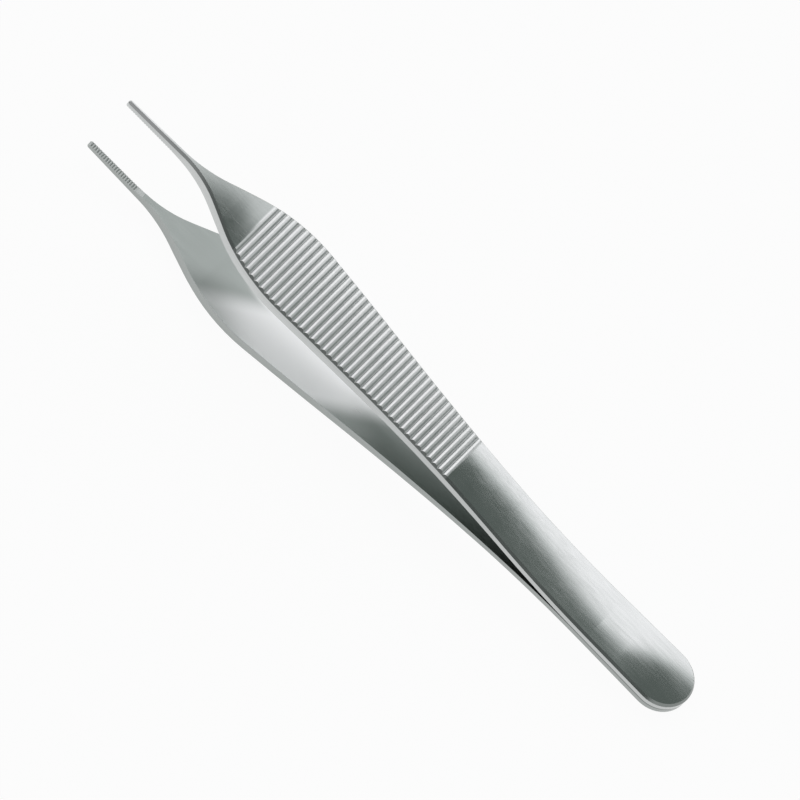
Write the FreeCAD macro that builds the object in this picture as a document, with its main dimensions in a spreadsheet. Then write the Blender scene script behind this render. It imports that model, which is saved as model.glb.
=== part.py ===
"""Thumb forceps, 120 mm long: two sprung steel arms welded flat to flat at the heel.

Each arm lies along X from the heel to the tip, Y runs across its width, and Z is the squeeze direction.
The weld face of both arms is the plane Z = 0 until the welded pair is tilted onto the table.
"""

import FreeCAD, Part
import math
import os

import Sketcher

Vector = FreeCAD.Vector

SIZES = (
    ("overall_length", 120.0, "heel end to tip end"),
    ("heel_width", 10.0, "width of the round heel end"),
    ("waist_behind_plate", 12.8, "from the waist, where the sides stop closing in, to the thumb plate"),
    ("waist_width", 9.06, "width of the spring part there"),
    ("waist_radius", 333.0, "sweep of the sides from the waist to the thumb plate"),
    ("plate_peak_from_tip", 35.2, "from the widest place of the thumb plate to the tip end"),
    ("plate_width", 13.4, "greatest width of the thumb plate"),
    ("crown_radius", 29.0, "rounding of the sides at the widest place"),
    ("neck_angle", 24.5, "slope of the sides in front of the thumb plate, degrees"),
    ("neck_radius", 19.0, "hollow of the sides where they run into the tip"),
    ("tip_width", 0.8, "width of the round tip end"),
    ("tip_flare", 0.3, "slope of each side of the tip, degrees"),
    ("spring_thickness", 1.4, "thickness of the heel and of the spring part"),
    ("spring_radius", 155.0, "bend of the spring part, on its outer face"),
    ("rise_angle", 7.6, "rise of the outer face behind the thumb plate, degrees"),
    ("rise_length", 11.3, "straight part between the spring bend and the thumb plate"),
    ("plate_from_tip", 26.1, "from the front end of the thumb plate to the tip end"),
    ("plate_margin", 0.64, "from the last groove to the neck"),
    ("plate_radius", 540.0, "bow of the thumb plate's outer face"),
    ("plate_rear_thickness", 1.68, "thickness at the rear end of the thumb plate"),
    ("plate_front_thickness", 2.15, "thickness at the front end of the thumb plate"),
    ("neck_swell_radius", 45.0, "hollow of the outer face between the thumb plate and the neck"),
    ("neck_rise_angle", 6.6, "rise of the outer face of the neck, degrees"),
    ("neck_bow_radius", 60.0, "bow of the outer face over the neck"),
    ("neck_crest_from_tip", 14.8, "from the highest place of the neck to the tip end"),
    ("tip_fall", 2.0, "fall of the outer face towards the tip end, degrees"),
    ("tip_thickness", 1.25, "thickness at the tip end"),
    ("jaw_length", 10.0, "length of the flat, serrated jaw face"),
    ("rim_bevel_width", 0.33, "bevel round the outer rim, measured on the outer face"),
    ("rim_bevel_depth", 0.45, "the same bevel, measured down the side walls"),
    ("ridge_count", 38, "ridges across each thumb plate"),
    ("ridge_pitch", 1.17, "from ridge to ridge"),
    ("groove_width", 0.87, "width of a groove at the ridge tops"),
    ("groove_depth", 0.33, "depth of a groove"),
    ("ridge_radius", 0.7, "rounding of the ridges' flanks, which meet at the bottom of the groove"),
    ("serration_count", 21, "notches across each jaw face"),
    ("serration_pitch", 0.45, "from notch to notch"),
    ("serration_depth", 0.15, "depth of a notch"),
    ("serration_angle", 80.0, "angle of a notch, degrees"),
    ("serration_from_tip", 0.5, "from the tip end to the first notch"),
)
PLATE_LENGTH = "Sizes.ridge_count * Sizes.ridge_pitch + Sizes.plate_margin"
WAIST = f"Sizes.overall_length - Sizes.plate_from_tip - ({PLATE_LENGTH}) - Sizes.waist_behind_plate"

document = FreeCAD.newDocument("thumb_forceps")
sheet = document.addObject("Spreadsheet::Sheet", "Sizes")
for row, (alias, value, meaning) in enumerate(SIZES, start=1):
    sheet.set(f"A{row}", alias)
    sheet.set(f"B{row}", str(value))
    sheet.set(f"C{row}", meaning)
    sheet.setAlias(f"B{row}", alias)
document.recompute()


def size(alias):
    """The value of a named size, in millimetres or degrees."""
    return float(getattr(sheet, alias))


def plate_ends():
    """How far the rear and the front end of the thumb plate lie from the heel end."""
    front = size("overall_length") - size("plate_from_tip")
    return front - size("ridge_count") * size("ridge_pitch") - size("plate_margin"), front


class Outline:
    """A closed chain of lines and arcs in a sketch, whose sizes follow the sheet."""

    def __init__(self, body, plane_role, name):
        self.sketch = body.newObject("Sketcher::SketchObject", name)
        plane = next(item for item in body.Origin.OriginFeatures if item.Role == plane_role)
        self.sketch.AttachmentSupport = [(plane, "")]
        self.sketch.MapMode = "FlatFace"

    def line(self, start, end):
        """A line, as (geometry, position of its start, position of its end)."""
        index = self.sketch.addGeometry(Part.LineSegment(Vector(*start), Vector(*end)))
        return index, 1, 2

    def arc(self, start, end, radius):
        """An arc from start to end, turning left for a positive radius and right for a negative one."""
        chord = Vector(*end) - Vector(*start)
        middle = (Vector(*start) + Vector(*end)) * 0.5
        reach = math.sqrt(max(radius ** 2 - (chord.Length / 2) ** 2, 0.0))
        left = Vector(-chord.y, chord.x, 0).normalize()
        centre = middle + left * math.copysign(reach, radius)
        towards_start = Vector(*start) - centre
        towards_end = Vector(*end) - centre
        angle_start = math.atan2(towards_start.y, towards_start.x)
        angle_end = math.atan2(towards_end.y, towards_end.x)
        first, last = (angle_start, angle_end) if radius > 0 else (angle_end, angle_start)
        circle = Part.Circle(centre, Vector(0, 0, 1), abs(radius))
        index = self.sketch.addGeometry(Part.ArcOfCircle(circle, first, last))
        return (index, 1, 2) if radius > 0 else (index, 2, 1)

    def join(self, before, after, smooth=True):
        """Joins the end of one piece to the start of the next, tangent or as a corner."""
        kind = "Tangent" if smooth else "Coincident"
        self.sketch.addConstraint(Sketcher.Constraint(kind, before[0], before[2], after[0], after[1]))

    def fix(self, *constraint):
        """A constraint that holds no size."""
        self.sketch.addConstraint(Sketcher.Constraint(*constraint))

    def bind(self, name, expression, *constraint):
        """A named dimension that follows an expression in the sheet's sizes."""
        index = self.sketch.addConstraint(Sketcher.Constraint(*constraint))
        self.sketch.renameConstraint(index, name)
        self.sketch.setExpression(f"Constraints.{name}", expression)


START, END, CENTRE = 1, 2, 3
X_AXIS, Y_AXIS = -1, -2
ORIGIN = (X_AXIS, START)


def slope_through(circle, radius, point):
    """The slope of the line to a point that lies ahead of a circle and touches the circle's top."""
    run, rise = point[0] - circle[0], point[1] - circle[1]
    return math.atan2(rise, run) - math.asin(radius / math.hypot(run, rise))


def slope_between(below, radius, above, other):
    """The slope of the line from over one circle's bottom to under the top of one ahead of it."""
    run, drop = above[0] - below[0], below[1] - above[1]
    return math.asin((radius + other) / math.hypot(run, drop)) - math.atan2(drop, run)


def sketch_plan(body):
    """The stock beside the arm, seen from above: round heel, waist, wide thumb plate, neck and tip."""
    length = size("overall_length")
    heel = size("heel_width") / 2
    waist = (plate_ends()[0] - size("waist_behind_plate"), size("waist_width") / 2)
    sweep_radius = size("waist_radius")
    crown = size("crown_radius")
    crown_centre = (length - size("plate_peak_from_tip"), size("plate_width") / 2 - crown)
    neck = math.radians(size("neck_angle"))
    neck_start = (crown_centre[0] + crown * math.sin(neck), crown_centre[1] + crown * math.cos(neck))
    tip = size("tip_width") / 2
    flare = math.radians(size("tip_flare"))
    hollow = size("neck_radius")
    corner_run = (neck_start[1] - tip) / math.tan(neck)
    corner = neck_start[0] + corner_run
    trim = hollow * math.tan((neck - flare) / 2)
    closing = slope_through((heel, 0), heel, waist)
    sweep_centre = (waist[0] - sweep_radius * math.sin(closing), waist[1] + sweep_radius * math.cos(closing))
    opening = slope_between(sweep_centre, sweep_radius, crown_centre, crown)
    plan = Outline(body, "XY_Plane", "plan_outline")
    rear_start = (heel - heel * math.sin(closing), heel * math.cos(closing))
    heel_end = plan.arc((0, 0), rear_start, -heel)
    rear_side = plan.line(rear_start, waist)
    side_start = (sweep_centre[0] + sweep_radius * math.sin(opening),
                  sweep_centre[1] - sweep_radius * math.cos(opening))
    sweep = plan.arc(waist, side_start, sweep_radius)
    crown_start = (crown_centre[0] - crown * math.sin(opening), crown_centre[1] + crown * math.cos(opening))
    front_side = plan.line(side_start, crown_start)
    widest = plan.arc(crown_start, neck_start, -crown)
    hollow_start = (corner - trim * math.cos(neck), tip + trim * math.sin(neck))
    hollow_end = (corner + trim, tip + flare * (length - corner - trim))
    neck_side = plan.line(neck_start, hollow_start)
    neck_hollow = plan.arc(hollow_start, hollow_end, hollow)
    tip_side = plan.line(hollow_end, (length - tip, tip))
    tip_end = plan.arc((length - tip, tip), (length, 0), -tip)
    margin = size("plate_width")
    corners = ((length, 0), (length + margin, 0), (length + margin, margin), (-margin, margin), (-margin, 0), (0, 0))
    border = [plan.line(start, end) for start, end in zip(corners, corners[1:])]
    chain = (heel_end, rear_side, sweep, front_side, widest, neck_side, neck_hollow, tip_side, tip_end)
    for before, after in zip(chain, chain[1:]):
        plan.join(before, after)
    for before, after in zip((tip_end, *border), (*border, heel_end)):
        plan.join(before, after, smooth=False)
    for index, side in enumerate(border):
        plan.fix("Vertical" if index % 2 else "Horizontal", side[0])
    for index in (0, 4, 1):
        plan.bind(f"margin_{index}", "Sizes.plate_width", "Distance", border[index][0], margin)
    plan.fix("Coincident", heel_end[0], heel_end[1], *ORIGIN)
    plan.fix("PointOnObject", heel_end[0], CENTRE, X_AXIS)
    plan.fix("PointOnObject", tip_end[0], CENTRE, X_AXIS)
    plan.bind("length", "Sizes.overall_length", "DistanceX", *ORIGIN, tip_end[0], tip_end[2], length)
    plan.bind("heel_radius", "Sizes.heel_width / 2", "Radius", heel_end[0], heel)
    plan.bind("waist_x", WAIST, "DistanceX", *ORIGIN, sweep[0], sweep[1], waist[0])
    plan.bind("waist_y", "Sizes.waist_width / 2", "DistanceY", *ORIGIN, sweep[0], sweep[1], waist[1])
    plan.bind("sweep_radius", "Sizes.waist_radius", "Radius", sweep[0], sweep_radius)
    plan.bind("crown_radius", "Sizes.crown_radius", "Radius", widest[0], crown)
    plan.bind("crown_x", "Sizes.overall_length - Sizes.plate_peak_from_tip",
              "DistanceX", *ORIGIN, widest[0], CENTRE, crown_centre[0])
    plan.bind("crown_y", "Sizes.crown_radius - Sizes.plate_width / 2",
              "DistanceY", widest[0], CENTRE, *ORIGIN, -crown_centre[1])
    plan.bind("neck_slope", "-Sizes.neck_angle * 1 deg", "Angle", neck_side[0], -neck)
    plan.bind("hollow_radius", "Sizes.neck_radius", "Radius", neck_hollow[0], hollow)
    plan.bind("tip_radius", "Sizes.tip_width / 2", "Radius", tip_end[0], tip)
    plan.bind("tip_slope", "-Sizes.tip_flare * 1 deg", "Angle", tip_side[0], -flare)
    return plan.sketch


def sketch_side(body):
    """The arm seen from its side: flat heel, spring bend, bowed thumb plate, neck and flat jaw."""
    length = size("overall_length")
    stock = size("spring_thickness")
    bend = size("spring_radius")
    rise = math.radians(size("rise_angle"))
    rear, front = plate_ends()
    weld = rear - size("rise_length") - bend * math.sin(rise)
    bow = size("plate_radius")
    swell = size("neck_swell_radius")
    neck_rise = math.radians(size("neck_rise_angle"))
    neck_bow = size("neck_bow_radius")
    neck_crest = length - size("neck_crest_from_tip")
    fall = math.radians(size("tip_fall"))
    jaw = size("jaw_length")
    bend_end = (weld + bend * math.sin(rise), stock + bend * (1 - math.cos(rise)))
    rear_top = (rear, bend_end[1] + (rear - bend_end[0]) * math.tan(rise))
    front_slope = rise - (front - rear) / bow
    front_top = (front, rear_top[1] + (front - rear) * math.tan((rise + front_slope) / 2))
    swell_end = (front + swell * (math.sin(neck_rise) - math.sin(front_slope)),
                 front_top[1] + swell * (math.cos(front_slope) - math.cos(neck_rise)))
    bow_start = neck_crest - neck_bow * math.sin(neck_rise)
    neck_start = (bow_start, swell_end[1] + (bow_start - swell_end[0]) * math.tan(neck_rise))
    bow_end = (neck_crest + neck_bow * math.sin(fall),
               neck_start[1] + neck_bow * (math.cos(fall) - math.cos(neck_rise)))
    tip_top = (length, bow_end[1] - (length - bow_end[0]) * math.tan(fall))
    tip_bottom = (length, tip_top[1] - size("tip_thickness"))
    jaw_root = (length - jaw, tip_bottom[1])
    rear_bottom = (rear, rear_top[1] - size("plate_rear_thickness"))
    front_bottom = (front, front_top[1] - size("plate_front_thickness"))
    inner_rise = 0.1
    inner_bend = bend + stock
    inner_bend_end = (weld + inner_bend * inner_rise, inner_bend * inner_rise ** 2 / 2)
    side = Outline(body, "XZ_Plane", "side_profile")
    heel_top = side.line((0, stock), (weld, stock))
    spring_top = side.arc((weld, stock), bend_end, bend)
    rise_top = side.line(bend_end, rear_top)
    plate_top = side.arc(rear_top, front_top, -bow)
    swell_top = side.arc(front_top, swell_end, swell)
    neck_slope_top = side.line(swell_end, neck_start)
    neck_top = side.arc(neck_start, bow_end, -neck_bow)
    tip_top_line = side.line(bow_end, tip_top)
    tip_face = side.line(tip_top, tip_bottom)
    jaw_face = side.line(tip_bottom, jaw_root)
    neck_bottom = side.line(jaw_root, front_bottom)
    plate_bottom = side.arc(front_bottom, rear_bottom, 2 * bow)
    rise_bottom = side.line(rear_bottom, inner_bend_end)
    spring_bottom = side.arc(inner_bend_end, (weld, 0), -inner_bend)
    weld_face = side.line((weld, 0), (0, 0))
    heel_face = side.line((0, 0), (0, stock))
    top = (heel_top, spring_top, rise_top, plate_top, swell_top, neck_slope_top, neck_top, tip_top_line)
    bottom = (plate_bottom, rise_bottom, spring_bottom, weld_face)
    for chain in (top, bottom):
        for before, after in zip(chain, chain[1:]):
            side.join(before, after)
    corners = (tip_top_line, tip_face, jaw_face, neck_bottom, plate_bottom)
    for before, after in zip(corners, corners[1:]):
        side.join(before, after, smooth=False)
    side.join(weld_face, heel_face, smooth=False)
    side.join(heel_face, heel_top, smooth=False)
    for flat in (heel_top, weld_face, jaw_face):
        side.fix("Horizontal", flat[0])
    for upright in (heel_face, tip_face):
        side.fix("Vertical", upright[0])
    side.fix("Coincident", weld_face[0], END, *ORIGIN)
    side.bind("spring_thickness", "Sizes.spring_thickness", "Distance", heel_face[0], stock)
    side.bind("length", "Sizes.overall_length", "DistanceX", *ORIGIN, tip_face[0], START, length)
    side.bind("rise_length", "Sizes.rise_length",
              "DistanceX", rise_top[0], START, rise_top[0], END, size("rise_length"))
    side.fix("Vertical", heel_top[0], END, weld_face[0], START)
    side.bind("spring_radius", "Sizes.spring_radius", "Radius", spring_top[0], bend)
    side.bind("spring_inner_radius", "Sizes.spring_radius + Sizes.spring_thickness",
              "Radius", spring_bottom[0], inner_bend)
    side.bind("rise_slope", "Sizes.rise_angle * 1 deg", "Angle", rise_top[0], rise)
    side.bind("plate_length", PLATE_LENGTH, "DistanceX", rise_top[0], END, swell_top[0], START, front - rear)
    side.bind("plate_front", "Sizes.plate_from_tip",
              "DistanceX", swell_top[0], START, tip_face[0], START, length - front)
    side.bind("plate_radius", "Sizes.plate_radius", "Radius", plate_top[0], bow)
    side.bind("swell_radius", "Sizes.neck_swell_radius", "Radius", swell_top[0], swell)
    side.bind("neck_slope", "Sizes.neck_rise_angle * 1 deg", "Angle", neck_slope_top[0], neck_rise)
    side.bind("neck_bow_radius", "Sizes.neck_bow_radius", "Radius", neck_top[0], neck_bow)
    side.bind("neck_crest", "Sizes.neck_crest_from_tip",
              "DistanceX", neck_top[0], CENTRE, tip_face[0], START, length - neck_crest)
    side.bind("tip_slope", "-Sizes.tip_fall * 1 deg", "Angle", tip_top_line[0], -fall)
    side.bind("tip_thickness", "Sizes.tip_thickness", "Distance", tip_face[0], size("tip_thickness"))
    side.bind("jaw_length", "Sizes.jaw_length", "Distance", jaw_face[0], jaw)
    side.fix("Vertical", rise_top[0], END, rise_bottom[0], START)
    side.fix("Vertical", swell_top[0], START, plate_bottom[0], plate_bottom[1])
    for name, item, point in (("bow_centre", plate_top[0], CENTRE), ("jaw", jaw_face[0], END)):
        for axis in "XY":
            index = side.sketch.addConstraint(Sketcher.Constraint("Distance" + axis, *ORIGIN, item, point, 1.0))
            side.sketch.setDriving(index, False)
            side.sketch.renameConstraint(index, f"{name}_{axis.lower()}")
    side.bind("rear_thickness", "Sizes.plate_rear_thickness",
              "DistanceY", rise_bottom[0], START, rise_top[0], END, size("plate_rear_thickness"))
    side.bind("front_thickness", "Sizes.plate_front_thickness", "DistanceY",
              plate_bottom[0], plate_bottom[1], swell_top[0], START, size("plate_front_thickness"))
    return side.sketch


def sketch_groove(body, side):
    """One groove between two round-topped ridges, drawn about the centre of the thumb plate's bow."""
    bow = size("plate_radius")
    half = size("groove_width") / 2
    depth = size("groove_depth")
    clear = depth
    groove = Outline(body, "XZ_Plane", "groove")
    left_flank = groove.arc((-half, bow), (0, bow - depth), -size("ridge_radius"))
    right_flank = groove.arc((0, bow - depth), (half, bow), -size("ridge_radius"))
    right_wall = groove.line((half, bow), (half, bow + clear))
    lid = groove.line((half, bow + clear), (-half, bow + clear))
    left_wall = groove.line((-half, bow + clear), (-half, bow))
    border = (left_flank, right_flank, right_wall, lid, left_wall)
    for before, after in zip(border, (*border[1:], left_flank)):
        groove.join(before, after, smooth=False)
    groove.fix("PointOnObject", left_flank[0], left_flank[2], Y_AXIS)
    groove.fix("Symmetric", left_flank[0], left_flank[1], right_flank[0], right_flank[2], Y_AXIS)
    groove.fix("Vertical", right_wall[0])
    groove.fix("Vertical", left_wall[0])
    groove.bind("ridge_tops", "Sizes.plate_radius", "DistanceY", *ORIGIN, right_wall[0], START, bow)
    groove.bind("bottom", "Sizes.plate_radius - Sizes.groove_depth",
                "DistanceY", *ORIGIN, left_flank[0], left_flank[2], bow - depth)
    groove.bind("width", "Sizes.groove_width", "Distance", lid[0], 2 * half)
    groove.bind("clear", "Sizes.groove_depth", "Distance", right_wall[0], clear)
    groove.bind("left_radius", "Sizes.ridge_radius", "Radius", left_flank[0], size("ridge_radius"))
    groove.bind("right_radius", "Sizes.ridge_radius", "Radius", right_flank[0], size("ridge_radius"))
    sketch = groove.sketch
    sketch.setExpression(".AttachmentOffset.Base.x", f"{side.Name}.Constraints.bow_centre_x")
    sketch.setExpression(".AttachmentOffset.Base.y", f"{side.Name}.Constraints.bow_centre_y")
    sketch.setExpression(".AttachmentOffset.Rotation.Angle", "Sizes.rise_angle * 1 deg")
    return sketch


def sketch_notch(body, side):
    """One notch across the jaw face, next to the tip end, with its apex up in the jaw."""
    depth = size("serration_depth")
    half_angle = math.radians(size("serration_angle") / 2)
    clear = depth / 2
    half = (depth + clear) * math.tan(half_angle)
    notch = Outline(body, "XZ_Plane", "notch")
    rear = notch.line((-half, -clear), (0, depth))
    front = notch.line((0, depth), (half, -clear))
    lid = notch.line((half, -clear), (-half, -clear))
    for before, after in ((rear, front), (front, lid), (lid, rear)):
        notch.join(before, after, smooth=False)
    notch.fix("Horizontal", lid[0])
    notch.fix("PointOnObject", rear[0], END, Y_AXIS)
    notch.fix("Equal", rear[0], front[0])
    notch.bind("depth", "Sizes.serration_depth", "DistanceY", *ORIGIN, rear[0], END, depth)
    notch.bind("clear", "Sizes.serration_depth / 2", "DistanceY", lid[0], END, *ORIGIN, clear)
    notch.bind("slope", "90 deg - Sizes.serration_angle * 0.5 deg", "Angle", rear[0], math.pi / 2 - half_angle)
    sketch = notch.sketch
    sketch.setExpression(".AttachmentOffset.Base.x", "Sizes.overall_length - Sizes.serration_from_tip")
    sketch.setExpression(".AttachmentOffset.Base.y", f"{side.Name}.Constraints.jaw_y")
    return sketch


def recompute():
    """Recomputes the document and stops at the first object that failed."""
    document.recompute()
    for item in document.Objects:
        failed = {"Invalid", "Error"} & set(item.State)
        if failed:
            raise RuntimeError(f"{item.Label} is {sorted(failed)}")


def rim_edges(blank):
    """The names of the edges between the outer face and the side walls."""
    names = []
    for number, edge in enumerate(blank.Edges, start=1):
        middle = edge.valueAt((edge.FirstParameter + edge.LastParameter) / 2)
        facing = [face.normalAt(*face.Surface.parameter(middle)) for face in blank.ancestorsOfType(edge, Part.Face)]
        outer = [normal for normal in facing if normal.z > 0.9]
        walls = [normal for normal in facing if abs(normal.z) < 0.1 and normal.y > -0.99]
        if outer and walls:
            names.append(f"Edge{number}")
    return names


def add_cut(arm, name, profile):
    """A pocket of one profile, right through the arm."""
    before = arm.Shape.Volume
    cut = arm.newObject("PartDesign::Pocket", name)
    cut.Profile = profile
    cut.Midplane = True
    cut.setExpression("Length", "2 * Sizes.plate_width")
    recompute()
    if not cut.Shape.Volume < before:
        raise RuntimeError(f"{name} cuts nothing")
    return cut


def make_arm(name):
    """One arm: half of it is profiled, outlined, bevelled, ridged and notched, then mirrored."""
    arm = document.addObject("PartDesign::Body", name)
    side = sketch_side(arm)
    bar = arm.newObject("PartDesign::Pad", f"{name}_bar")
    bar.Profile = side
    bar.Reversed = True
    bar.setExpression("Length", "Sizes.plate_width")
    recompute()
    outline = arm.newObject("PartDesign::Pocket", f"{name}_outline")
    outline.Profile = sketch_plan(arm)
    outline.Type = "ThroughAll"
    outline.Reversed = True
    recompute()
    bevel = arm.newObject("PartDesign::Chamfer", f"{name}_rim_bevel")
    bevel.Base = (outline, rim_edges(outline.Shape))
    bevel.ChamferType = "Two distances"
    bevel.setExpression("Size", "Sizes.rim_bevel_width")
    bevel.setExpression("Size2", "Sizes.rim_bevel_depth")
    recompute()
    groove = add_cut(arm, f"{name}_groove", sketch_groove(arm, side))
    ridges = arm.newObject("PartDesign::PolarPattern", f"{name}_ridges")
    ridges.Originals = [groove]
    ridges.Axis = (groove.Profile[0], ["N_Axis"])
    ridges.Reversed = True
    ridges.setExpression("Occurrences", "Sizes.ridge_count + 1")
    ridges.setExpression("Angle", "Sizes.ridge_count * Sizes.ridge_pitch / Sizes.plate_radius * 1 rad")
    arm.Tip = ridges
    recompute()
    notch = add_cut(arm, f"{name}_notch", sketch_notch(arm, side))
    serrations = arm.newObject("PartDesign::LinearPattern", f"{name}_serrations")
    serrations.Originals = [notch]
    serrations.Direction = (notch.Profile[0], ["H_Axis"])
    serrations.Reversed = True
    serrations.setExpression("Occurrences", "Sizes.serration_count")
    serrations.setExpression("Length", "(Sizes.serration_count - 1) * Sizes.serration_pitch")
    arm.Tip = serrations
    recompute()
    whole = arm.newObject("PartDesign::Mirrored", f"{name}_both_halves")
    whole.TransformMode = "Whole shape"
    whole.MirrorPlane = (next(item for item in arm.Origin.OriginFeatures if item.Role == "XZ_Plane"), [""])
    arm.Tip = whole
    recompute()
    return arm


def resting_tilt(arm):
    """The angle, in degrees, between the weld plane and a table under the outer face of a turned-over arm.

    The arm rests on the two outermost places on either side of its centre of mass.
    """
    points = sorted({(round(point.x, 4), round(point.z, 4)) for point in arm.Shape.tessellate(0.01)[0]})
    hull = []
    for point in points:
        while len(hull) > 1:
            (x0, z0), (x1, z1) = hull[-2:]
            if (x1 - x0) * (point[1] - z0) < (z1 - z0) * (point[0] - x0):
                break
            hull.pop()
        hull.append(point)
    balance = arm.Shape.Solids[0].CenterOfMass.x
    for (x0, z0), (x1, z1) in zip(hull, hull[1:]):
        if x0 <= balance <= x1:
            return math.degrees(math.atan2(z1 - z0, x1 - x0))
    raise RuntimeError("the arm has no resting place under its centre of mass")


def main():
    upper_arm = make_arm("upper_arm")
    lower_arm = make_arm("lower_arm")
    arms = (upper_arm, lower_arm)
    rest = resting_tilt(upper_arm)
    tilt = FreeCAD.Rotation(Vector(0, -1, 0), rest)
    turned_over = FreeCAD.Rotation(Vector(1, 0, 0), 180)
    upper_arm.Placement = FreeCAD.Placement(Vector(), tilt)
    lower_arm.Placement = FreeCAD.Placement(Vector(), tilt * turned_over)
    recompute()
    pair = Part.makeCompound([arm.Shape for arm in arms]).optimalBoundingBox(True, False)
    onto_table = Vector(-pair.Center.x, 0, -pair.ZMin)
    for arm in arms:
        arm.Placement = FreeCAD.Placement(onto_table, arm.Placement.Rotation)
    recompute()
    for arm in arms:
        shape = arm.Shape
        if shape.isNull() or not shape.isValid() or len(shape.Solids) != 1:
            raise RuntimeError(f"{arm.Label} isn't one sound solid")
    os.makedirs("parts", exist_ok=True)
    for arm in arms:
        arm.Shape.exportStep(f"parts/{arm.Label}.step")
    print(f"the weld plane is tilted {rest:.3f} degrees; the pair measures "
          f"{pair.XLength:.3f} x {pair.YLength:.3f} x {pair.ZLength:.3f} mm")


main()
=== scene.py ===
"""Thumb forceps in satin steel, lying on a pale floor and seen from the photograph's angle."""

import math

import bpy
from mathutils import Matrix, Vector

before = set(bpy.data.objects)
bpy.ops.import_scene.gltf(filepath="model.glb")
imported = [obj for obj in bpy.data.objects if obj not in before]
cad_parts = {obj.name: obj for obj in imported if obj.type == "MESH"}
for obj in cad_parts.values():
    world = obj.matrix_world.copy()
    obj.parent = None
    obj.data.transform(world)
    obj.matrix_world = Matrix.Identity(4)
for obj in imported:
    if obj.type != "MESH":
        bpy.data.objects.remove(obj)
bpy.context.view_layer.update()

MM = 0.001
WELD_TILT = math.radians(4.389)
WELD_HEIGHT = 5.966

CAMERA_LEAN = math.radians(32.0)
PIXELS_PER_MM = 6.81
FRAME_PIXELS = 800
LENS = 1200.0
HEEL_ALONG = -59.822
HEEL_PIXEL = (684.7, 702.1)
HEEL_TO_TIP_IN_IMAGE = Vector((-0.7049, 0.7093))

# Places along the arm in millimetres from the middle of the part
RIDGES = (-11.75, 33.95)
BEVEL_END = 44.0
NECK = (34.2, 50.0)
JAW_START = 49.0
# Stretch of the inner faces that carries a painted highlight
INNER_HIGHLIGHT_STRETCH = (6.5, 31.0)
FAR = 1000.0

# Shading forms: heights in metres over distances in metres
CROWN = -14.0
HEEL_DOME = -12.0
DOME_START = -0.0485
RIDGED_CROWN_LOSS = 0.75
SCRATCH_DEPTH = 0.000004
# Middle and diagonal sweep of the painted highlight on the inner faces
INNER_HIGHLIGHT_MIDDLE = 0.004
INNER_HIGHLIGHT_SWEEP = 1.4
# Half width of the weld line with painted shade where the arms meet
SEAM_HALF_WIDTH = (0.00004, 0.00016)

# A face leans more than a wall above the first value and is a bevel below the second
WALL_LEVEL = 0.3
BEVEL_LEVEL = 0.78
FLANK_LEVEL = 0.4

STEEL_TONES = (0.52, 0.54, 0.535, 1), (0.60, 0.615, 0.61, 1)
GRAIN_TONE = (0.45, 0.475, 0.465, 1)
# Painted highlight on the ridged grip, for the light its rounded crests catch
RIDGE_HIGHLIGHT_TONE = (0.76, 0.77, 0.765, 1)
# Painted shade in the grooves between the ridges
GROOVE_SHADE_TONE = (0.30, 0.335, 0.32, 1)
# Edge wear and painted highlights on sharp edges
WEAR_AND_EDGE_HIGHLIGHT_TONE = (0.82, 0.83, 0.83, 1)
# Painted shade on the outer faces of the neck
NECK_SHADE_TONE = (0.26, 0.29, 0.275, 1)
# Painted shade on the bevels, a dark outline
BEVEL_SHADE_TONE = (0.15, 0.17, 0.16, 1)
# Painted shade on the side walls, darker on the lower arm next to the floor
WALL_SHADE_TONE = (0.30, 0.33, 0.315, 1)
# Painted shade on the inner faces, and a painted highlight where they would reflect the light
INNER_SHADE_AND_HIGHLIGHT_TONES = (0.28, 0.315, 0.297, 1), (0.91, 0.92, 0.92, 1)
JAW_TONE = (0.66, 0.68, 0.67, 1)
# Weld line with painted shade in the crevice where the arms meet
SEAM_LINE_AND_SHADE_TONE = (0.10, 0.115, 0.11, 1)

# Soft boxes in degrees: start, end and softness, turned from the far side and raised from the floor
KEY_TURN = (-45, 75, 10)
KEY_HEIGHT = (12, 66, 6)
KEY_SLANT = 73
KEY_SLANT_SOFTNESS = 5
FILL_TURN = (100, 200, 20)
FILL_HEIGHT = (6, 60, 8)
CEILING_HEIGHT = (78, 120, 24)
KEY_STRENGTH = 1.15
FILL_STRENGTH = 0.3
CEILING_STRENGTH = 0.4
ROOM_STRENGTH = 0.14
ROOM_TINT = (0.84, 1.0, 0.92, 1)
LIGHT_TINT = (0.99, 0.985, 1.0, 1)

FLOOR_HALF = 20.0
FLOOR_TONE = (0.86, 0.87, 0.87, 1)
FLOOR_WHITE_TO_CAMERA = 0.95
FLOOR_WHITE_IN_METAL = 0.75
CARD_EDGE = (0.12, 0.4)


def arm_axes():
    """Unit vectors along the arms, out of the weld plane, and from the object to the camera."""
    along = Vector((math.cos(WELD_TILT), 0, math.sin(WELD_TILT)))
    out = Vector((-math.sin(WELD_TILT), 0, math.cos(WELD_TILT)))
    to_camera = math.sin(CAMERA_LEAN) * Vector((0, 1, 0)) + math.cos(CAMERA_LEAN) * out
    return along, out, to_camera


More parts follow.
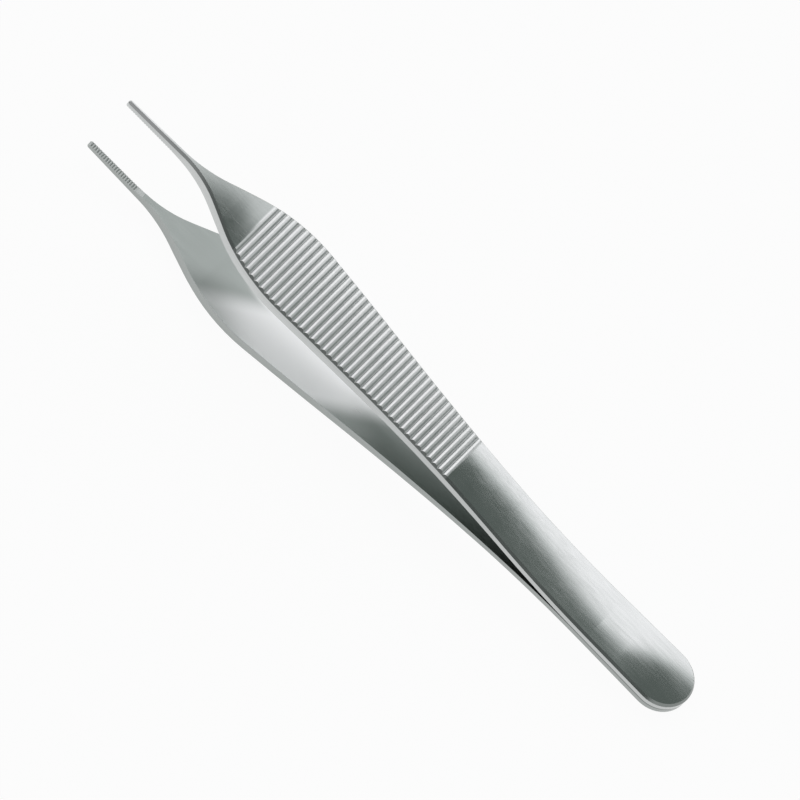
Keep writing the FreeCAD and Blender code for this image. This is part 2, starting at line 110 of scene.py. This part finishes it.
def make_camera():
    """A long lens at the photograph's angle, which puts the heel end on its pixel."""
    along, out, to_camera = arm_axes()
    across = math.sin(CAMERA_LEAN) * out - math.cos(CAMERA_LEAN) * Vector((0, 1, 0))
    run, climb = HEEL_TO_TIP_IN_IMAGE
    right = run * along + climb * across
    up = climb * along - run * across
    heel = HEEL_ALONG * along + WELD_HEIGHT * out
    offset_right = (FRAME_PIXELS / 2 - HEEL_PIXEL[0]) / PIXELS_PER_MM
    offset_up = (HEEL_PIXEL[1] - FRAME_PIXELS / 2) / PIXELS_PER_MM
    target = heel + offset_right * right + offset_up * up
    camera = bpy.data.objects.new("camera", bpy.data.cameras.new("camera"))
    bpy.context.scene.collection.objects.link(camera)
    camera.data.lens = LENS
    distance = LENS / camera.data.sensor_width * FRAME_PIXELS / PIXELS_PER_MM * MM
    camera.rotation_mode = "QUATERNION"
    camera.rotation_quaternion = Matrix((right, up, to_camera)).transposed().to_quaternion()
    camera.location = target * MM + to_camera * distance
    camera.data.clip_start = 0.01
    camera.data.clip_end = 100.0
    bpy.context.scene.camera = camera


class Nodes:
    """Shader nodes with short calls: an input is a number, a colour or another node's output."""

    def __init__(self, owner):
        owner.use_nodes = True
        self.tree = owner.node_tree
        self.tree.nodes.clear()

    def add(self, kind, inputs=(), **settings):
        node = self.tree.nodes.new(kind)
        for key, value in settings.items():
            setattr(node, key, value)
        for key, value in dict(inputs).items():
            if isinstance(value, bpy.types.NodeSocket):
                self.tree.links.new(value, node.inputs[key])
            else:
                node.inputs[key].default_value = value
        return node

    def math(self, operation, first, second=0.0, clamp=False):
        inputs = {0: first, 1: second}
        return self.add("ShaderNodeMath", inputs, operation=operation, use_clamp=clamp).outputs[0]

    def plus(self, first, second, clamp=False):
        return self.math("ADD", first, second, clamp)

    def minus(self, first, second):
        return self.math("SUBTRACT", first, second)

    def times(self, first, second):
        return self.math("MULTIPLY", first, second)

    def size(self, value):
        return self.math("ABSOLUTE", value)

    def axes(self, vector):
        return self.add("ShaderNodeSeparateXYZ", {0: vector}).outputs

    def noise(self, vector, stretch, scale, detail, roughness):
        vector = self.add("ShaderNodeVectorMath", {0: vector, 1: stretch}, operation="MULTIPLY").outputs[0]
        inputs = {"Vector": vector, "Scale": scale, "Detail": detail, "Roughness": roughness}
        return self.add("ShaderNodeTexNoise", inputs).outputs["Fac"]

    def spread(self, value, low, high, start=0.3, end=0.7):
        """Low at the start value and high at the end value, held outside them."""
        inputs = {"Value": value, "From Min": start, "From Max": end, "To Min": low, "To Max": high}
        return self.add("ShaderNodeMapRange", inputs).outputs[0]

    def step(self, value, start, end):
        """A smooth rise from zero at the start value to one at the end value."""
        inputs = {"Value": value, "From Min": start, "From Max": end}
        return self.add("ShaderNodeMapRange", inputs, interpolation_type="SMOOTHSTEP").outputs[0]

    def window(self, value, start, end, softness):
        """One between start and end, zero outside, with soft edges."""
        half = softness / 2
        return self.times(self.step(value, start - half, start + half), self.step(value, end + half, end - half))

    def blend(self, factor, first, second):
        return self.add("ShaderNodeMix", {0: factor, 6: first, 7: second}, data_type="RGBA").outputs[2]

    def tint(self, tone, zone, strength, colour):
        return self.blend(self.times(zone, strength), tone, colour)

    def bump(self, height, distance, strength, normal=None):
        inputs = {"Height": height, "Distance": distance, "Strength": strength}
        if normal is not None:
            inputs["Normal"] = normal
        return self.add("ShaderNodeBump", inputs).outputs[0]


def find_zones(nodes, place):
    """Masks for the faces and features of both arms, from the place, the facing and the sharpness of edges."""
    geometry = nodes.add("ShaderNodeNewGeometry").outputs
    facing = nodes.axes(geometry["True Normal"])
    level = nodes.size(facing["Z"])
    along_part, out_part = math.cos(WELD_TILT), math.sin(WELD_TILT)
    weld_plane = nodes.plus(nodes.times(place["X"], out_part), WELD_HEIGHT * MM)
    above_weld = nodes.minus(nodes.times(place["Z"], along_part), weld_plane)
    along_arm = nodes.plus(nodes.times(place["X"], along_part), nodes.times(place["Z"], out_part))

    def stretch_of_arm(start, end, softness):
        return nodes.window(along_arm, start * MM, end * MM, softness)

    away_from_weld = nodes.times(facing["Z"], nodes.math("SIGN", above_weld))
    outward = nodes.math("GREATER_THAN", away_from_weld, WALL_LEVEL)
    ridged = nodes.times(stretch_of_arm(*RIDGES, 0.0003), outward)
    flank = nodes.times(ridged, nodes.math("LESS_THAN", nodes.size(facing["Y"]), FLANK_LEVEL))
    bevel = nodes.times(nodes.window(level, WALL_LEVEL, BEVEL_LEVEL, 0.04), nodes.minus(outward, flank))
    bevel = nodes.times(bevel, stretch_of_arm(-FAR, BEVEL_END, 0.008))
    # sharp edges, lightened below as wear and as painted highlights
    wear_and_edge_highlight = nodes.times(nodes.spread(geometry["Pointiness"], 0.0, 1.0, 0.5, 0.62), nodes.minus(1.0, bevel))
    # painted shade: the bottoms of the grooves between the ridges
    groove = nodes.times(nodes.spread(geometry["Pointiness"], 1.0, 0.0, 0.40, 0.48), ridged)
    neck = nodes.times(stretch_of_arm(NECK[0], FAR, 0.0004), outward)
    neck = nodes.times(neck, stretch_of_arm(-FAR, NECK[1], 0.014))
    lower = nodes.math("LESS_THAN", above_weld, 0.0)
    # painted shade on the side walls, stronger on the lower arm
    wall_shade = nodes.times(nodes.math("LESS_THAN", level, WALL_LEVEL), nodes.plus(0.15, nodes.times(lower, 0.5)))
    inner = nodes.times(nodes.math("GREATER_THAN", level, WALL_LEVEL), nodes.minus(1.0, outward))
    # a diagonal stretch of the inner faces for a painted highlight
    from_middle = nodes.minus(nodes.size(place["Y"]), INNER_HIGHLIGHT_MIDDLE)
    swept = nodes.minus(along_arm, nodes.times(from_middle, INNER_HIGHLIGHT_SWEEP))
    inner_highlight = nodes.window(swept, INNER_HIGHLIGHT_STRETCH[0] * MM, INNER_HIGHLIGHT_STRETCH[1] * MM, 0.006)
    jaw = nodes.times(nodes.math("GREATER_THAN", along_arm, JAW_START * MM), inner)
    # weld line with painted shade where the arms meet
    seam_line_and_shade = nodes.spread(nodes.size(above_weld), 1.0, 0.0, *SEAM_HALF_WIDTH)
    return {"outward": outward, "ridged": ridged, "bevel": bevel, "wear_and_edge_highlight": wear_and_edge_highlight, "groove": groove, "neck": neck,
            "wall_shade": wall_shade, "inner": inner, "inner_highlight": inner_highlight, "jaw": jaw, "seam_line_and_shade": seam_line_and_shade}


def steel_tone(nodes, zones, clouds, grain):
    """Cloudy grey with dark grain, edges lightened as wear and painted highlight, painted highlights on the
    ridges and a stretch of the inner plate, and painted shade in the grooves, on the neck, bevels, walls and
    inner faces and where the arms meet.
    """
    tone = nodes.blend(nodes.spread(clouds, 0.0, 1.0), *STEEL_TONES)
    tone = nodes.blend(nodes.spread(grain, 0.0, 0.4), tone, GRAIN_TONE)
    # painted highlight: the ridged grip is lightened
    tone = nodes.tint(tone, zones["ridged"], 0.65, RIDGE_HIGHLIGHT_TONE)
    # painted shade in the grooves
    tone = nodes.tint(tone, zones["groove"], 0.6, GROOVE_SHADE_TONE)
    # edge wear and painted edge highlights
    tone = nodes.tint(tone, zones["wear_and_edge_highlight"], 0.7, WEAR_AND_EDGE_HIGHLIGHT_TONE)
    # painted shade on the neck
    tone = nodes.tint(tone, zones["neck"], 0.6, NECK_SHADE_TONE)
    # painted shade: the bevels are darkened into an outline
    tone = nodes.tint(tone, zones["bevel"], 0.75, BEVEL_SHADE_TONE)
    # painted shade on the side walls
    tone = nodes.blend(zones["wall_shade"], tone, WALL_SHADE_TONE)
    # painted shade on the inner faces, with a painted highlight on the diagonal stretch
    tone = nodes.tint(tone, zones["inner"], 0.8, nodes.blend(zones["inner_highlight"], *INNER_SHADE_AND_HIGHLIGHT_TONES))
    tone = nodes.tint(tone, zones["jaw"], 0.7, JAW_TONE)
    # weld line with painted shade where the arms meet
    return nodes.tint(tone, zones["seam_line_and_shade"], 0.8, SEAM_LINE_AND_SHADE_TONE)


def steel_roughness(nodes, zones, clouds, grain):
    rough = nodes.plus(nodes.spread(clouds, 0.15, 0.20), nodes.spread(grain, -0.03, 0.04))
    for zone, more in (("ridged", 0.2), ("inner", 0.14), ("neck", 0.08), ("jaw", 0.12)):
        rough = nodes.plus(rough, nodes.times(zones[zone], more))
    return rough


def steel_normal(nodes, zones, place, scratches):
    """A slight crown across the outer faces and a dome at the heel end, under fine scratches."""
    crown = nodes.times(nodes.times(place["Y"], place["Y"]), CROWN)
    before_dome = nodes.math("MAXIMUM", nodes.minus(DOME_START, place["X"]), 0.0)
    dome = nodes.times(nodes.times(before_dome, before_dome), HEEL_DOME)
    polished = nodes.minus(zones["outward"], nodes.times(zones["ridged"], RIDGED_CROWN_LOSS))
    form = nodes.bump(nodes.plus(crown, dome), 1.0, polished)
    return nodes.bump(scratches, SCRATCH_DEPTH, 0.5, form)


def satin_steel():
    """Steel ground lengthwise: fine grain, cloudy polish, edge wear with painted edge highlights, and painted
    shade and highlights in its colour.
    """
    material = bpy.data.materials.new("satin_steel")
    nodes = Nodes(material)
    point = nodes.add("ShaderNodeTexCoord").outputs["Object"]
    place = nodes.axes(point)
    grain = nodes.noise(point, (90.0, 2600.0, 2600.0), 1.0, 4.0, 0.6)
    brushing = nodes.noise(point, (260.0, 7000.0, 7000.0), 1.0, 2.0, 0.5)
    clouds = nodes.noise(point, (1.0, 1.0, 1.0), 75.0, 3.0, 0.55)
    zones = find_zones(nodes, place)
    shader = nodes.add("ShaderNodeBsdfPrincipled", {
        "Base Color": steel_tone(nodes, zones, clouds, grain),
        "Roughness": steel_roughness(nodes, zones, clouds, grain),
        "Normal": steel_normal(nodes, zones, place, nodes.plus(grain, brushing)),
        "Metallic": 1.0,
        "Anisotropic": 0.3})
    nodes.add("ShaderNodeOutputMaterial", {"Surface": shader.outputs[0]})
    return material


def make_floor():
    """A pale floor, near white to the camera and around the part in reflections, which still takes the shadow."""
    half = FLOOR_HALF
    corners = [(-half, -half, 0), (half, -half, 0), (half, half, 0), (-half, half, 0)]
    mesh = bpy.data.meshes.new("floor")
    mesh.from_pydata(corners, [], [(0, 1, 2, 3)])
    floor = bpy.data.objects.new("floor", mesh)
    bpy.context.scene.collection.objects.link(floor)
    material = bpy.data.materials.new("pale_floor")
    nodes = Nodes(material)
    paint = nodes.add("ShaderNodeBsdfDiffuse", {"Color": FLOOR_TONE})
    white = nodes.add("ShaderNodeEmission", {"Color": (1, 1, 1, 1), "Strength": 1.0})
    rays = nodes.add("ShaderNodeLightPath").outputs
    point = nodes.add("ShaderNodeTexCoord").outputs["Object"]
    from_part = nodes.add("ShaderNodeVectorMath", {0: point}, operation="LENGTH").outputs["Value"]
    card = nodes.spread(from_part, FLOOR_WHITE_IN_METAL, 0.0, *CARD_EDGE)
    to_camera = nodes.times(rays["Is Camera Ray"], FLOOR_WHITE_TO_CAMERA)
    seen = nodes.plus(to_camera, nodes.times(rays["Is Glossy Ray"], card), clamp=True)
    mixed = nodes.add("ShaderNodeMixShader", {0: seen, 1: paint.outputs[0], 2: white.outputs[0]})
    nodes.add("ShaderNodeOutputMaterial", {"Surface": mixed.outputs[0]})
    mesh.materials.append(material)


def make_world():
    """A pale studio: a long soft box high on the far side, a weaker one behind the camera and a soft ceiling."""
    world = bpy.data.worlds.new("studio")
    nodes = Nodes(world)
    away = nodes.axes(nodes.add("ShaderNodeTexCoord").outputs["Generated"])
    height = nodes.math("ARCSINE", away["Z"])
    turn = nodes.math("ARCTAN2", away["X"], nodes.times(away["Y"], -1.0))

    def between(angle, degrees):
        return nodes.window(angle, *(math.radians(value) for value in degrees))

    key = nodes.times(between(turn, KEY_TURN), between(height, KEY_HEIGHT))
    below_slant = nodes.minus(nodes.plus(turn, math.radians(KEY_SLANT)), height)
    soft = math.radians(KEY_SLANT_SOFTNESS)
    key = nodes.times(key, nodes.step(below_slant, -soft, soft))
    fill = nodes.times(between(nodes.size(turn), FILL_TURN), between(height, FILL_HEIGHT))
    ceiling = between(height, CEILING_HEIGHT)
    strength = nodes.plus(nodes.times(key, KEY_STRENGTH), ROOM_STRENGTH)
    strength = nodes.plus(strength, nodes.times(fill, FILL_STRENGTH))
    strength = nodes.plus(strength, nodes.times(ceiling, CEILING_STRENGTH))
    lit = nodes.plus(nodes.plus(key, fill), ceiling, clamp=True)
    colour = nodes.blend(lit, ROOM_TINT, LIGHT_TINT)
    sky = nodes.add("ShaderNodeBackground", {"Color": colour, "Strength": strength})
    nodes.add("ShaderNodeOutputWorld", {"Surface": sky.outputs[0]})
    bpy.context.scene.world = world


def main():
    bpy.context.scene.view_settings.view_transform = "Standard"
    make_camera()
    make_world()
    make_floor()
    steel = satin_steel()
    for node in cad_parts.values():
        node.data.materials.clear()
        node.data.materials.append(steel)


main()
